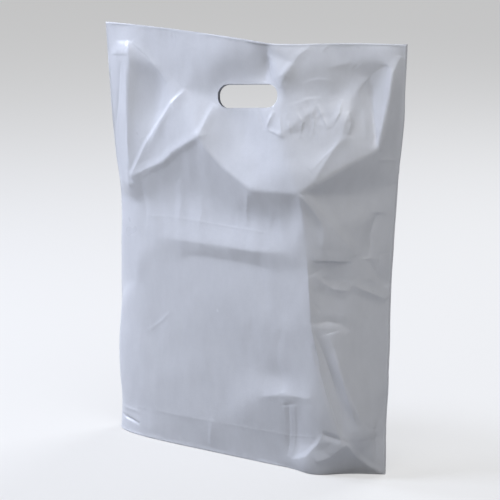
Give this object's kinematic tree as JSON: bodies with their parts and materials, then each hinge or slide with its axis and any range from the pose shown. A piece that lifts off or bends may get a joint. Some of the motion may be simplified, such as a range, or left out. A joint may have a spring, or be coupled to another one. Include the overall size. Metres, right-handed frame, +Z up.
{
  "type": "plastic carrier bag",
  "caption": "Plain white plastic carrier bag with a die-cut handle hole, standing open on its bottom gusset and creased all over.",
  "frame": {"origin": "centre of the bag's box at the floor that it stands on", "axes": "+Z up, -Y out of the front panel, +X to its right as seen from the front; the right weld lies farther back than the left one"},
  "size_m": [0.3706, 0.1036, 0.4609],
  "materials": {
    "white_film": "thin milky white polyethylene film with a soft sheen, slightly translucent"
  },
  "bodies": {
    "root": {"carrier_bag": "white_film"}
  },
  "joints": []
}
